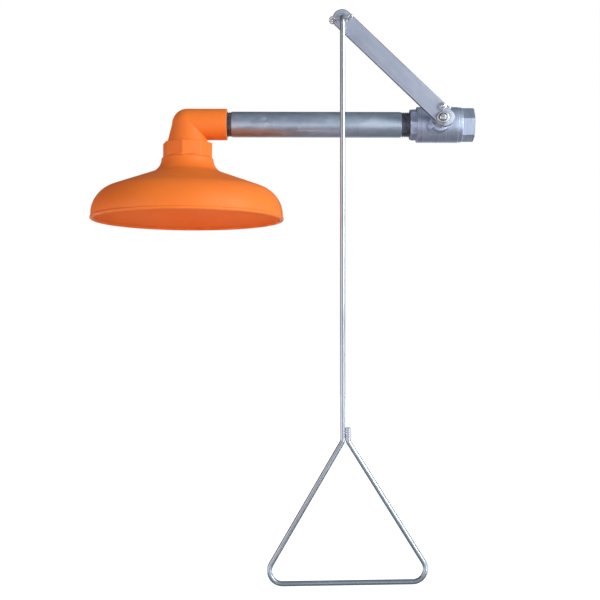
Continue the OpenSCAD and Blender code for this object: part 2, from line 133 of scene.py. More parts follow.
def orangePlastic():
    finish, tints = Finish("orangeMoulding", IOR=1.5, Specular_IOR_Level=0.34), orangeTints
    flow = finish.noise(9, 3, 0.55)
    cloud = finish.noise(38, 4, 0.6)
    colour = finish.blend(finish.fade(flow, 0.3, 0.7), tints["deep"], tints["bright"])
    colour = finish.blend(finish.fade(cloud, 0.58, 0.8, 0, 0.35), colour, tints["dull"])
    specks = finish.fade(finish.cells(260), 0.0, 0.09, 0.5, 0)  # a little dust in the moulding
    colour = finish.blend(specks, colour, tints["dust"])
    skin = finish.noise(900, 2, 0.5)
    roughness = finish.fade(cloud, 0.3, 0.75, 0.46, 0.58) + skin * 0.05
    return finish.dress(colour, roughness, skin * 0.5 + flow * 2, 0.00012)


zincTints = {
    "dark": tint(0.34, 0.41, 0.54), "light": tint(0.45, 0.52, 0.66),
    "crystal": tint(0.6, 0.65, 0.74), "bloom": tint(0.62, 0.66, 0.72),
    "grime": tint(0.23, 0.26, 0.34),
}


def galvanisedPipe():
    finish, tints = Finish("galvanisedPipe", IOR=1.6), zincTints
    along = finish.stretched((0.18, 1, 1))
    spangle = finish.cells(150, "Color")
    crystal = finish.add("ShaderNodeSeparateColor", {}, [spangle])
    drift = finish.noise(30, 4, 0.6, along)
    streak = finish.noise(240, 4, 0.65, along)
    colour = finish.blend(finish.fade(drift, 0.3, 0.7), tints["dark"], tints["light"])
    colour = finish.blend(finish.fade(crystal, 0, 1, 0, 0.22), colour, tints["crystal"])
    bloom = finish.fade(finish.noise(75, 5, 0.7), 0.6, 0.72, 0, 0.3)  # pale zinc bloom in patches
    colour = finish.blend(bloom, colour, tints["bloom"])
    grime = finish.fade(streak, 0.56, 0.75, 0, 0.35)
    colour = finish.blend(grime, colour, tints["grime"])
    roughness = finish.fade(crystal, 0, 1, 0.36, 0.46) + bloom * 0.3 + grime * 0.15
    return finish.dress(colour, roughness, streak + crystal * 0.15, 0.00012, 0.92 - bloom * 1.4)


def cutThread():
    finish = Finish("cutThread", IOR=1.6)
    oil = finish.noise(160, 4, 0.6)
    dark, worn = tint(0.11, 0.12, 0.165), tint(0.25, 0.27, 0.34)
    colour = finish.blend(finish.fade(oil, 0.35, 0.7), dark, worn)
    roughness = finish.fade(oil, 0.3, 0.7, 0.3, 0.55)
    return finish.dress(colour, roughness, finish.noise(900, 3), 0.00005, 0.85 - oil * 0.1)


def machinedPlate(name, rings, first, second, rough=(0.36, 0.5)):
    finish = Finish(name, IOR=1.6)
    lathe = finish.noise(420, 3, 0.7, finish.stretched(rings))  # tool marks round the axis
    cloud = finish.noise(55, 4, 0.6)
    colour = finish.blend(finish.fade(cloud, 0.3, 0.7), first, second)
    marks = finish.fade(lathe, 0.42, 0.75, 0, 0.6)
    colour = finish.blend(marks, colour, tint(0.24, 0.28, 0.37))
    roughness = finish.fade(lathe, 0.3, 0.7, *rough) + cloud * 0.06
    spots = finish.fade(finish.noise(300, 2, 0.5), 0.7, 0.78, 0, 1)
    roughness = roughness + spots * 0.12
    return finish.dress(colour, roughness, lathe + spots * 0.6, 0.00006, 0.97 - spots * 0.3)


def brushedLever(slope):
    finish = Finish("brushedLever", IOR=1.6)
    grain = finish.noise(700, 4, 0.7, finish.stretched((0.06, 1, 1), (0, -slope, 0)))
    patch = finish.noise(26, 4, 0.6)
    dark, light = tint(0.46, 0.5, 0.65), tint(0.55, 0.59, 0.75)
    colour = finish.blend(finish.fade(patch, 0.3, 0.7), dark, light)
    colour = finish.blend(finish.fade(grain, 0.5, 0.8, 0, 0.35), colour, tint(0.36, 0.36, 0.46))
    nicks = finish.fade(finish.cells(70), 0, 0.03, 0.6, 0)
    roughness = finish.fade(grain, 0.3, 0.7, 0.3, 0.44) + nicks * 0.1
    return finish.dress(colour, roughness, grain - nicks * 0.6, 0.00003, 0.93 - patch * 0.05)


def drawnRod(name, first, second):
    finish = Finish(name, IOR=1.6)
    draw = finish.noise(650, 3, 0.6, finish.stretched((1, 1, 0.04)))  # die lines down the rod
    haze = finish.noise(24, 4, 0.6)
    colour = finish.blend(finish.fade(haze, 0.3, 0.7), first, second)
    colour = finish.blend(finish.fade(draw, 0.55, 0.8, 0, 0.14), colour, tint(0.27, 0.28, 0.34))
    roughness = finish.fade(haze, 0.3, 0.7, 0.27, 0.31) + draw * 0.01
    return finish.dress(colour, roughness, draw, 0.000001, 0.98 - haze * 0.04)


def zincFastener():
    finish = Finish("zincFastener", IOR=1.6)
    passivate = finish.noise(120, 3, 0.6)
    dark, light = tint(0.4, 0.43, 0.5), tint(0.53, 0.55, 0.6)
    colour = finish.blend(finish.fade(passivate, 0.3, 0.7), dark, light)
    scuff = finish.fade(finish.noise(700, 3, 0.7), 0.55, 0.75, 0, 1)
    colour = finish.blend(scuff * 0.3, colour, tint(0.3, 0.31, 0.36))
    roughness = finish.fade(passivate, 0.3, 0.7, 0.24, 0.38) + scuff * 0.1
    return finish.dress(colour, roughness, scuff, 0.00004, 0.96 - scuff * 0.1)


def heatTintedWeld():
    finish = Finish("heatTintedWeld", IOR=1.6)
    sockets = {"Vector": finish.place, "Scale": 190, "Distortion": 2.5, "Detail": 2}
    ripple = finish.add("ShaderNodeTexWave", {"bands_direction": "Z"}, sockets, "Fac")
    burn = finish.noise(180, 3, 0.6)
    blued, straw = tint(0.24, 0.21, 0.26), tint(0.5, 0.46, 0.48)
    colour = finish.blend(finish.fade(burn, 0.3, 0.7), blued, straw)
    roughness = finish.fade(burn, 0.3, 0.7, 0.3, 0.5)
    return finish.dress(colour, roughness, ripple, 0.0003, 0.9 - burn * 0.2)


def sealPolymer(name, first, second, rough):
    finish = Finish(name, IOR=1.47)
    cloud = finish.noise(70, 3, 0.6)
    grain = finish.noise(1200, 2, 0.5)
    colour = finish.blend(finish.fade(cloud, 0.3, 0.7), first, second)
    roughness = finish.fade(cloud, 0.3, 0.7, *rough) + grain * 0.05
    return finish.dress(colour, roughness, grain + cloud, 0.00006)


leverSlope = math.radians(43.9)
orangeMoulding = orangePlastic()
zincPipe = galvanisedPipe()
darkThread = cutThread()
plateAlong = machinedPlate(
    "turnedValve", (1, 0.05, 0.05), tint(0.5, 0.57, 0.76), tint(0.58, 0.65, 0.84))
plateAcross = machinedPlate(
    "turnedGland", (0.05, 1, 0.05), tint(0.5, 0.52, 0.55), tint(0.6, 0.6, 0.62))
steelLever = brushedLever(leverSlope)
steelRod = drawnRod("drawnRod", tint(0.35, 0.41, 0.5), tint(0.43, 0.49, 0.58))
# the lever's cut edge: dull sheared steel, with its near-black colour as painted shade
leverEdgeShade = drawnRod("shearedEdgeShade", tint(0.11, 0.115, 0.15), tint(0.2, 0.21, 0.26))
pinSteel = drawnRod("splitPinWire", tint(0.5, 0.51, 0.56), tint(0.66, 0.66, 0.7))
fastener = zincFastener()
weldTint = heatTintedWeld()
whiteSeal = sealPolymer(
    "whiteSeal", tint(0.74, 0.73, 0.7), tint(0.82, 0.81, 0.78), (0.35, 0.5))
whiteDeflector = sealPolymer(
    "whiteDeflector", tint(0.78, 0.78, 0.76), tint(0.85, 0.85, 0.83), (0.3, 0.42))
blackRubber = sealPolymer(
    "blackRubber", tint(0.016, 0.016, 0.018), tint(0.03, 0.03, 0.032), (0.55, 0.75))
chromedBall = machinedPlate(
    "chromedBall", (1, 1, 1), tint(0.7, 0.71, 0.73), tint(0.76, 0.77, 0.79), (0.08, 0.14))
print("finishes made")


# Parts are modelled in millimetres, and finished() scales each piece to metres.

def tidy(part):
    bmesh.ops.remove_doubles(part, verts=part.verts, dist=0.0005)
    bmesh.ops.recalc_face_normals(part, faces=part.faces)
    return part


def moved(part, place):
    bmesh.ops.transform(part, matrix=place, verts=part.verts)
    return part


def pour(target, *parts, slot=None):  # adds parts to one mesh
    for part in parts:
        if slot is not None:
            for face in part.faces:
                face.material_index = slot
        mesh = bpy.data.meshes.new("carry")
        part.to_mesh(mesh)
        part.free()
        target.from_mesh(mesh)
        bpy.data.meshes.remove(mesh)


def rise(edge):  # how far an edge climbs along Z
    return abs(edge.verts[0].co.z - edge.verts[1].co.z)


def cornerLeg(a, b, c, radius):  # how far a round corner reaches along its two sides
    u, v = (Vector(a) - Vector(b)).normalized(), (Vector(c) - Vector(b)).normalized()
    return radius / math.tan(u.angle(v) / 2)


# A row is radius and height, and a rounded corner adds its size and its number of steps.
def turned(profile, place=unmoved, steps=96, closed=True):
    part = bmesh.new()
    verts = [part.verts.new((row[0], 0, row[1])) for row in profile]
    for a, b in zip(verts, verts[1:] + (verts[:1] if closed else [])):
        part.edges.new((a, b))
    for vert, row in zip(verts, profile):
        if len(row) > 2:
            bmesh.ops.bevel(part, geom=[vert], offset=row[2], offset_type="OFFSET",
                            segments=row[3], profile=0.5, affect="VERTICES", material=-1)
    bmesh.ops.spin(part, geom=part.verts[:] + part.edges[:], cent=(0, 0, 0), axis=(0, 0, 1),
                   angle=2 * math.pi, steps=steps, use_merge=True)
    return moved(tidy(part), place)


def rod(radius, low, high, place=unmoved, steps=48, edge=0):
    rows = [(0, low), (radius, low), (radius, high), (0, high)]
    if edge:
        rows[1:3] = [(radius, low, edge, 3), (radius, high, edge, 3)]
    return turned(rows, place, steps, closed=False)


def coil(inner, outer, width, low, turns, pitch, place=unmoved, steps=40):  # one thread ridge
    part = bmesh.new()
    crest = width * 0.25
    rows = [(inner, -width / 2), (outer, -crest / 2), (outer, crest / 2), (inner, width / 2)]
    verts = [part.verts.new((r, 0, low + z)) for r, z in rows]
    part.faces.new(verts)
    bmesh.ops.spin(part, geom=part.verts[:] + part.edges[:] + part.faces[:], cent=(0, 0, 0),
                   axis=(0, 0, 1), dvec=(0, 0, pitch / steps), angle=2 * math.pi * turns,
                   steps=int(steps * turns))
    return moved(tidy(part), place)


def prism(sides, radius, low, high, place=unmoved, turn=0, edge=0.6, endEdge=0.6, cuts=2):
    part = bmesh.new()
    bmesh.ops.create_cone(part, cap_ends=True, segments=sides, radius1=radius, radius2=radius,
                          depth=high - low)
    middle = Matrix.Translation((0, 0, (low + high) / 2))
    moved(part, middle @ Matrix.Rotation(turn, 4, "Z"))
    bmesh.ops.bevel(part, geom=[e for e in part.edges if rise(e) > 0.01], offset=edge,
                    segments=cuts, profile=0.5, affect="EDGES", material=-1)
    if endEdge:
        bmesh.ops.bevel(part, geom=[e for e in part.edges if rise(e) < 0.01], offset=endEdge,
                        segments=cuts, profile=0.5, affect="EDGES", material=-1)
    return moved(tidy(part), place)


def block(size, place=unmoved, edge=0.5, cuts=2):
    part = bmesh.new()
    bmesh.ops.create_cube(part, size=1, matrix=Matrix.Diagonal((*size, 1)))
    if edge:
        bmesh.ops.bevel(part, geom=part.edges[:], offset=edge, segments=cuts, profile=0.5,
                        affect="EDGES", material=-1)
    return moved(part, place)


def holderOf(part, name):
    mesh = bpy.data.meshes.new(name)
    part.to_mesh(mesh)
    part.free()
    holder = bpy.data.objects.new(name, mesh)
    scene.collection.objects.link(holder)
    return holder


def joined(part, *steps):  # Boolean steps, each one an operation and a second part
    for operation, second in steps:
        base, tool = holderOf(part, "base"), holderOf(second, "tool")
        cut = base.modifiers.new("cut", "BOOLEAN")
        cut.operation, cut.solver, cut.object = operation, "EXACT", tool
        graph = bpy.context.evaluated_depsgraph_get()
        made = bpy.data.meshes.new_from_object(base.evaluated_get(graph))
        part = bmesh.new()
        part.from_mesh(made)
        for mesh in [made, base.data, tool.data]:
            bpy.data.meshes.remove(mesh)
        bmesh.ops.remove_doubles(part, verts=part.verts, dist=0.0005)
    return part


# Faces above flatAbove, in square millimetres, stay flat; edges above crease degrees stay sharp.
def finished(name, part, materials, body, slot, *nodes, crease=32, flatAbove=1e9):
    for face in part.faces:
        face.smooth = face.calc_area() < flatAbove
    bmesh.ops.scale(part, vec=(mm, mm, mm), verts=part.verts)
    gaps = sum(1 for e in part.edges if len(e.link_faces) != 2)
    mesh = bpy.data.meshes.new(name)
    part.to_mesh(mesh)
    part.free()
    for material in materials:
        mesh.materials.append(material)
    mesh.set_sharp_from_angle(angle=math.radians(crease))
    piece = bpy.data.objects.new(name, mesh)
    scene.collection.objects.link(piece)
    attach(piece, body)
    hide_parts(*nodes)
    print(name, "faces", len(mesh.polygons), "open or doubled edges", gaps)


def boxOf(node):  # low and high corner of a CAD node, in millimetres
    low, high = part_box(node)
    return low / mm, high / mm


# The bell with its eight-sided boss, rim bead and deflector posts
headLow, headHigh = boxOf("shower_head")
headX = (headLow.x + headHigh.x) / 2
headPlace = Matrix.Translation((headX, 0, 0))
head = {
    "rimRadius": (headHigh.x - headLow.x) / 2, "rimDrop": -headLow.z, "beadRadius": 2.2,
    "wall": 2.6, "neckRadius": 33.9, "neckTop": 46, "roofDrop": 59.4,
    "roofSlope": math.radians(20), "skirtSlope": math.radians(78), "shoulderRadius": 37,
    "neckCurve": 19, "octagonRadius": 32.8, "octagonTop": 25, "octagonTurn": math.radians(15),
    "socketRadius": 21.03, "floorTop": 44, "floorEnd": 48, "floorHole": 14,
    "postPitch": 24, "postRadius": 3.4, "postEnd": 68, "footRadius": 5.2,
}
postAngles = [math.radians(120 * i + 90) for i in range(3)]
postPlaces = [
    Matrix.Translation((head["postPitch"] * math.cos(a), head["postPitch"] * math.sin(a), 0))
    for a in postAngles]


def bellProfile():
    slope, lean, wall = math.tan(head["roofSlope"]), math.tan(head["skirtSlope"]), head["wall"]

    def line(inset):  # neck corner, shoulder and rim points of the outer or inner face
        neck = head["neckRadius"] - inset
        roof = -head["roofDrop"] + slope * head["neckRadius"] - inset / math.cos(head["roofSlope"])
        base = head["rimRadius"] - head["beadRadius"] * 0.8 - inset / math.sin(head["skirtSlope"])
        shoulder = (lean * base + roof + head["rimDrop"]) / (lean + slope)
        rim = (base, -head["rimDrop"] + 0.5)
        return (neck, roof - slope * neck), (shoulder, roof - slope * shoulder), rim

    neckOut, shoulderOut, rimOut = line(0)
    neckIn, shoulderIn, rimIn = line(wall)
    top, floor = (head["neckRadius"], -head["neckTop"]), (neckIn[0], -head["floorEnd"])
    neckLeg = cornerLeg(top, neckOut, shoulderOut, head["neckCurve"]) * 0.98
    outerLeg = cornerLeg(neckOut, shoulderOut, rimOut, head["shoulderRadius"])
    innerLeg = cornerLeg(neckIn, shoulderIn, rimIn, head["shoulderRadius"] - wall)
    return [
        (head["floorHole"], -head["floorTop"], 0.4, 2), (29.3, -head["floorTop"] + 2.6),
        (*top, 0.7, 3), (*neckOut, neckLeg, 14), (*shoulderOut, outerLeg, 22), rimOut, rimIn,
        (*shoulderIn, innerLeg, 22), (*neckIn, 2.6, 5), (*floor, 1.2, 4),
        (head["floorHole"], -head["floorEnd"], 0.4, 2)]


def makeHead():
    rim, beadRadius, foot, post = (
        head[k] for k in ("rimRadius", "beadRadius", "footRadius", "postRadius"))
    corners = ((-1, -1), (1, -1), (1, 1), (-1, 1))
    bell = turned(bellProfile(), steps=160)
    bead = turned([(rim - beadRadius + beadRadius * x, beadRadius * (1 + z) - head["rimDrop"],
                    0.85 * beadRadius, 6) for x, z in corners], steps=160)
    octagon = prism(8, head["octagonRadius"], -head["neckTop"] - 1, -head["octagonTop"],
                    turn=head["octagonTurn"] + math.pi / 8 + math.pi / 2,
                    edge=1.3, endEdge=0.7, cuts=3)
    posts = [rod(post, -head["postEnd"], -head["floorEnd"] + 1, place, 32, 0.3)
             for place in postPlaces]
    footRows = [(0, -46.5), (foot, -46.5), (foot, -48), (post, -50, 0.8, 4), (0, -50)]
    feet = [turned(footRows, place, 32, closed=False) for place in postPlaces]
    socket = rod(head["socketRadius"], -head["floorTop"], 0)
    part = joined(bell, ("UNION", octagon), ("UNION", bead),
                  *[("UNION", p) for p in posts + feet], ("DIFFERENCE", socket))
    finished("showerHead", moved(part, headPlace), [orangeMoulding], "arm", "orange_plastic",
             "shower_head", crease=24, flatAbove=120)


makeHead()
print("shower head made")


# The elbow between the head and the arm pipe
elbow = {
    "radius": 20.4, "reach": 51.5, "footRadius": 26.6, "footDrop": 25, "boreRadius": 12.5,
    "socketRadius": 15.66, "socketDepth": 19, "mouth": 1.4, "spigotRadius": 21,
    "spigotEnd": 38.8, "lipWidth": 3.2, "lipGroove": 0.22, "skirtInner": 19, "skirtProud": 0.7,
}


def makeElbow():
    r, reach, drop, foot = (elbow[k] for k in ("radius", "reach", "footDrop", "footRadius"))
    lip, groove = reach - elbow["lipWidth"], r - elbow["lipGroove"]
    arm = turned([(0, 0), (r, 0), (r, lip - 0.6), (groove, lip - 0.3), (groove, lip),
                  (r, lip + 0.3), (r, reach, 0.9, 3), (0, reach)], pipePlace, 112, closed=False)
    ball = bmesh.new()
    bmesh.ops.create_uvsphere(ball, u_segments=96, v_segments=48, radius=r)
    cone = turned([(0, -drop), (foot, -drop), (r, 0), (0, 0)], steps=112, closed=False)
    spigotRadius, spigotEnd = elbow["spigotRadius"], elbow["spigotEnd"]
    spigot = turned([(0, -spigotEnd), (spigotRadius, -spigotEnd, 0.8, 2), (spigotRadius, -20),
                     (0, -20)], steps=112, closed=False)
    inner, outer = elbow["skirtInner"], foot + elbow["skirtProud"]
    skirt = turned([(inner, -drop), (outer, -drop), (outer, -drop + 1.0, 0.5, 3),
                    (inner, -drop + 2.2)], steps=112)
    socket, socketEnd = elbow["socketRadius"], reach - elbow["socketDepth"]
    mouth = socket + elbow["mouth"]
    bores = [rod(elbow["boreRadius"], -1, reach + 1, pipePlace, 64),
             rod(elbow["boreRadius"], -50, 0, unmoved, 64),
             turned([(0, socketEnd), (socket, socketEnd), (socket, reach - 1.2),
                     (mouth, reach + 0.2), (mouth, reach + 1), (0, reach + 1)],
                    pipePlace, 96, closed=False)]
    part = joined(arm, ("UNION", ball), ("UNION", cone), ("UNION", spigot), ("UNION", skirt),
                  *[("DIFFERENCE", b) for b in bores])
    finished("inletElbow", moved(part, headPlace), [orangeMoulding], "arm", "orange_plastic",
             "inlet_elbow", crease=20)


makeElbow()


# The deflector and its three screws, under the bell's roof
deflector = {"radius": 36, "thick": 2.5, "coneFoot": 16.6, "coneTop": 3, "screwHole": 1.7}


def makeDeflector():
    low, high = boxOf("deflector")
    d = deflector
    top = low.z + d["thick"]
    plate = turned([(0, low.z), (d["radius"] - 1, low.z, 0.5, 3), (d["radius"], top, 0.7, 3),
                    (d["coneFoot"], top, 1.2, 4), (d["coneTop"], high.z, 1.5, 4), (0, high.z)],
                   steps=128, closed=False)
    drill = [rod(d["screwHole"], low.z - 1, high.z + 1, place, 24) for place in postPlaces]
    part = joined(plate, *[("DIFFERENCE", b) for b in drill])
    finished("waterDeflector", moved(part, headPlace), [whiteDeflector], "arm",
             "white_plastic", "deflector", flatAbove=200)


panScrew = {
    "shank": 1.45, "root": 1.4, "crest": 1.62, "ridgeWidth": 0.5, "turns": 8, "pitch": 0.9,
    "headRadius": 3, "headHigh": 2, "crossLong": 3.2, "crossWide": 0.7, "crossDeep": 1.5,
}


def makeDeflectorScrews():
    low, high = boxOf("deflector_screws")
    s = panScrew
    radius, top, long, wide = s["headRadius"], low.z + s["headHigh"], s["crossLong"], s["crossWide"]
    part = bmesh.new()
    for place in postPlaces:
        shank = rod(s["shank"], low.z + 1, high.z, unmoved, 24, 0.3)
        pan = turned([(0, low.z), (radius, low.z, 1.1, 5), (radius, top, 0.15, 1), (0, top)],
                     unmoved, 40, closed=False)
        cross = [block((x, y, s["crossDeep"]), Matrix.Translation((0, 0, low.z)), 0)
                 for x, y in ((long, wide), (wide, long))]
        screw = joined(pan, *[("DIFFERENCE", c) for c in cross])
        ridge = coil(s["root"], s["crest"], s["ridgeWidth"], low.z + 2.2, s["turns"],
                     s["pitch"], unmoved, 16)
        pour(part, moved(screw, place), moved(shank, place), moved(ridge, place))
    finished("deflectorScrews", moved(part, headPlace), [fastener], "arm", "stainless",
             "deflector_screws")


makeDeflector()
makeDeflectorScrews()
print("elbow and deflector made")


# The arm pipe, with cut threads where it is bare
thread = {"pitch": 2.21, "root": 15.05, "crest": 16.25, "ridgeWidth": 1.9}
pipe = {"radius": 16.7, "bore": 13.3, "thread": 15.4, "bareAtElbow": 6.5, "bareAtValve": 12}


def makePipe():
    low, high = boxOf("arm_pipe")
    elbowFace, valveFace = headX + elbow["reach"], boxOf("valve_retainer")[0].x
    left, right = elbowFace + pipe["bareAtElbow"], valveFace - pipe["bareAtValve"]
    root, fit, outer, bore = thread["root"], pipe["thread"], pipe["radius"], pipe["bore"]
    skin = turned([(bore, low.x, 0.5, 2), (fit, low.x, 0.9, 2), (fit, elbowFace - 1.2),
                   (root, elbowFace - 0.8), (root, left - 1.4), (outer, left, 0.5, 2),
                   (outer, right, 0.5, 2), (root, right + 1.6), (root, valveFace + 0.8),
                   (fit, valveFace + 1.2), (fit, high.x, 0.9, 2), (bore, high.x, 0.5, 2)],
                  pipePlace, 128)
    for face in skin.faces:  # cut ends are darker than the plain pipe
        x = face.calc_center_median().x
        face.material_index = 0 if left - 1 < x < right + 1 else 1
    turnsLeft = (pipe["bareAtElbow"] + 0.4) / thread["pitch"]
    turnsRight = (pipe["bareAtValve"] + 0.2) / thread["pitch"]
    ridges = [coil(root - 0.1, thread["crest"], thread["ridgeWidth"], start, turns,
                   thread["pitch"], pipePlace, 64)
              for start, turns in ((elbowFace - 0.6, turnsLeft), (right + 0.9, turnsRight))]
    pour(skin, *ridges, slot=1)
    finished("armPipe", skin, [zincPipe, darkThread], "arm", "galvanised_steel", "arm_pipe",
             crease=28)


makePipe()
print("arm pipe made")


# The valve's body and the retainer at its outlet end
stemX = 46
valve = {
    "length": 74.5, "radius": 23.2, "hexRadius": 22.3, "hexLength": 15,
    "hexTurn": math.radians(-12.7), "socket": 15.66, "socketDepth": 19, "mouth": 1.9,
    "port": 10, "chamber": 18, "nose": 60.57, "chamberEnd": 31.43, "retainerBore": 19.53,
    "bossRadius": 13, "bossTop": 30, "packing": 8.65, "packingFloor": 21.5, "stemBore": 5.05,
    "collar": 7.6, "collarTop": 19.5, "earWidth": 6.4, "earFoot": 18, "earTop": 40,
    "earInner": 10.53, "earOuter": 19.2, "earTurn": 30.9,
}


def stemPlace(turn=0):  # turns +Z into the stem's outward direction
    outward = Matrix.Translation((-stemX, 0, 0)) @ Matrix.Rotation(math.pi / 2, 4, "X")
    return outward @ Matrix.Rotation(turn, 4, "Z")


def makeValveBody():
    v = valve
    r, end, hexEnd, socket, boss = (
        v["radius"], -v["length"], -v["hexLength"], v["socket"], v["bossRadius"])
    shell = turned([(0, end), (r, end, 0.7, 3), (r, hexEnd - 6.6), (r - 0.35, hexEnd - 6.2),
                    (r - 0.57, hexEnd - 1.9), (r - 0.6, hexEnd - 1.0, 0.5, 3),
                    (r - 4.2, hexEnd + 0.5), (0, hexEnd + 0.5)], pipePlace, 144, closed=False)
    hexPlace = pipePlace @ Matrix.Rotation(v["hexTurn"], 4, "Z")
    nut = prism(6, v["hexRadius"], hexEnd - 2, 0, hexPlace, edge=1.0, endEdge=0, cuts=3)
    cone = turned([(0, -30), (40, -30), (40, -18.9), (v["hexRadius"] - 1.7, 0.5), (0, 0.5)],
                  pipePlace, 96, closed=False)
    nut = joined(nut, ("INTERSECT", cone))  # chamfered corners at the open end
    stemBoss = turned([(0, 10), (boss, 10), (boss, v["bossTop"], 1.0, 3), (0, v["bossTop"])],
                      stemPlace(), 80, closed=False)
    skirt = turned([(0, 15), (boss + 1.4, 18), (boss - 0.2, 24, 1.2, 5), (boss - 0.2, 27),
                    (0, 27)], stemPlace(), 80, closed=False)
    length, depth = v["earOuter"] - v["earInner"], v["earTop"] - v["earFoot"]
    earMiddle = Matrix.Translation((v["earInner"] + length / 2, 0, v["earFoot"] + depth / 2))
    ears = [block((length, v["earWidth"], depth), stemPlace(math.radians(a)) @ earMiddle, 0.9, 3)
            for a in (90 - v["earTurn"], 180 + v["earTurn"])]
    socketEnd, mouth = -v["socketDepth"] - 0.01, socket + v["mouth"]
    waterway = turned([(0, end - 1), (v["retainerBore"], end - 1), (v["retainerBore"], -v["nose"]),
                       (v["chamber"], -v["nose"]), (v["chamber"], -v["chamberEnd"]),
                       (v["port"], -v["chamberEnd"]), (v["port"], socketEnd),
                       (socket, socketEnd), (socket, -1.6), (mouth, 0.3), (mouth, 1), (0, 1)],
                      pipePlace, 96, closed=False)
    stemWay = turned([(0, 0), (v["collar"], 0), (v["collar"], v["collarTop"]),
                      (v["stemBore"], v["collarTop"]), (v["stemBore"], v["packingFloor"]),
                      (v["packing"], v["packingFloor"]), (v["packing"], 50), (0, 50)],
                     stemPlace(), 64, closed=False)
    part = joined(shell, ("UNION", nut), ("UNION", stemBoss), ("UNION", skirt),
                  *[("UNION", e) for e in ears], ("DIFFERENCE", waterway),
                  ("DIFFERENCE", stemWay))
    for face in part.faces:
        face.material_index = 0
    ridge = coil(socket - 1.0, socket + 0.2, thread["ridgeWidth"], -v["socketDepth"] + 1, 7.4,
                 thread["pitch"], pipePlace, 64)
    pour(part, ridge, slot=1)
    finished("valveBody", part, [plateAlong, darkThread], "arm", "plated_brass", "valve_body",
             crease=26, flatAbove=60)


retainer = {
    "flangeRadius": 20.6, "flangeThick": 8.8, "screwed": 19.5, "port": 10, "groove": 17.4,
    "mouth": 1.4,
}


def makeRetainer():
    flangeRadius, screwed, port, groove = (
        retainer[k] for k in ("flangeRadius", "screwed", "port", "groove"))
    end, nose = -valve["length"] - retainer["flangeThick"], -valve["nose"]
    flange = prism(8, flangeRadius, end, end + retainer["flangeThick"] - 0.05, pipePlace,
                   edge=0.8, endEdge=0, cuts=3)
    chamfer = turned([(0, end), (flangeRadius - 1.3, end), (flangeRadius + 1, end + 3.2),
                      (flangeRadius + 1, end + 20), (0, end + 20)], pipePlace, 96, closed=False)
    flange = joined(flange, ("INTERSECT", chamfer))
    tail = turned([(0, end + 4), (screwed, end + 4), (screwed, nose - 3.9), (groove, nose - 3.8),
                   (groove, nose - 1.4), (screwed, nose - 1.3), (screwed, nose, 0.4, 2),
                   (0, nose)], pipePlace, 96, closed=False)
    socket, socketEnd = valve["socket"], end + valve["socketDepth"]
    mouth = socket + retainer["mouth"]
    bore = turned([(0, end - 1), (mouth, end - 1), (mouth, end - 0.2), (socket, end + 1.2),
                   (socket, socketEnd), (port, socketEnd), (port, 0), (0, 0)],
                  pipePlace, 96, closed=False)
    part = joined(flange, ("UNION", tail), ("DIFFERENCE", bore))
    finished("valveRetainer", part, [plateAlong], "arm", "plated_brass", "valve_retainer",
             crease=26, flatAbove=40)


makeValveBody()
makeRetainer()


# The gland nut that holds the stem's packing
gland = {"flat": 8.6, "low": 26.05, "floor": 30, "top": 37, "bore": 5.05, "turn": math.radians(8)}


def hexNut(flat, low, high, bore, place, crown=0.55, bothEnds=False, edge=0.35, mouth=0.6):
    corner = flat / math.cos(math.radians(30))
    beyond, wide = corner + 1, bore + mouth
    body = prism(6, corner, low, high, place, edge=edge, endEdge=0, cuts=2)
    start = [(0, low), (beyond, low)]
    if bothEnds:
        start[1:] = [(flat, low), (beyond, low + (beyond - flat) * 0.55)]
    crowned = turned([*start, (beyond, high - (corner + 1.5 - flat) * crown),
                      (flat - 0.5, high, 0.3, 2), (0, high)], place, 72, closed=False)
    hole = turned([(0, low - 1), (bore + 0.5, low - 1), (bore + 0.5, low), (bore, low + 0.5),
                   (bore, high - mouth), (wide, high + 0.1), (wide, high + 1), (0, high + 1)],
                  place, 48, closed=False)
    return joined(body, ("INTERSECT", crowned), ("DIFFERENCE", hole))


def makeGland():
    g = gland
    outer, top = g["flat"] - 0.05, g["floor"] + 0.3
    collar = turned([(g["bore"], g["low"], 0.2, 1), (outer, g["low"], 0.3, 1), (outer, top),
                     (g["bore"], top)], stemPlace(), 64)
    part = hexNut(g["flat"], g["floor"] + 0.05, g["top"], g["bore"], stemPlace(g["turn"]))
    pour(part, collar)
    finished("glandNut", part, [plateAcross], "arm", "plated_brass", "gland_nut",
             crease=26, flatAbove=14)


# The lever, a flat bar with round ends
lever = {
    "length": 180, "width": 24.4, "tail": 1.7, "offset": 3.8, "back": 42, "front": 46.8,
    "edge": 0.85, "stemHole": 5.05, "stopHole": 2.55, "rodHole": 3.28, "stopPitch": 15,
}
leverPlace = stemPlace(math.pi - leverSlope) @ Matrix.Translation((0, -lever["offset"], 0))
rodHole = leverPlace @ Vector((lever["length"], 0, 0))
stopPlace = stemPlace() @ Matrix.Translation((0, lever["stopPitch"], 0))


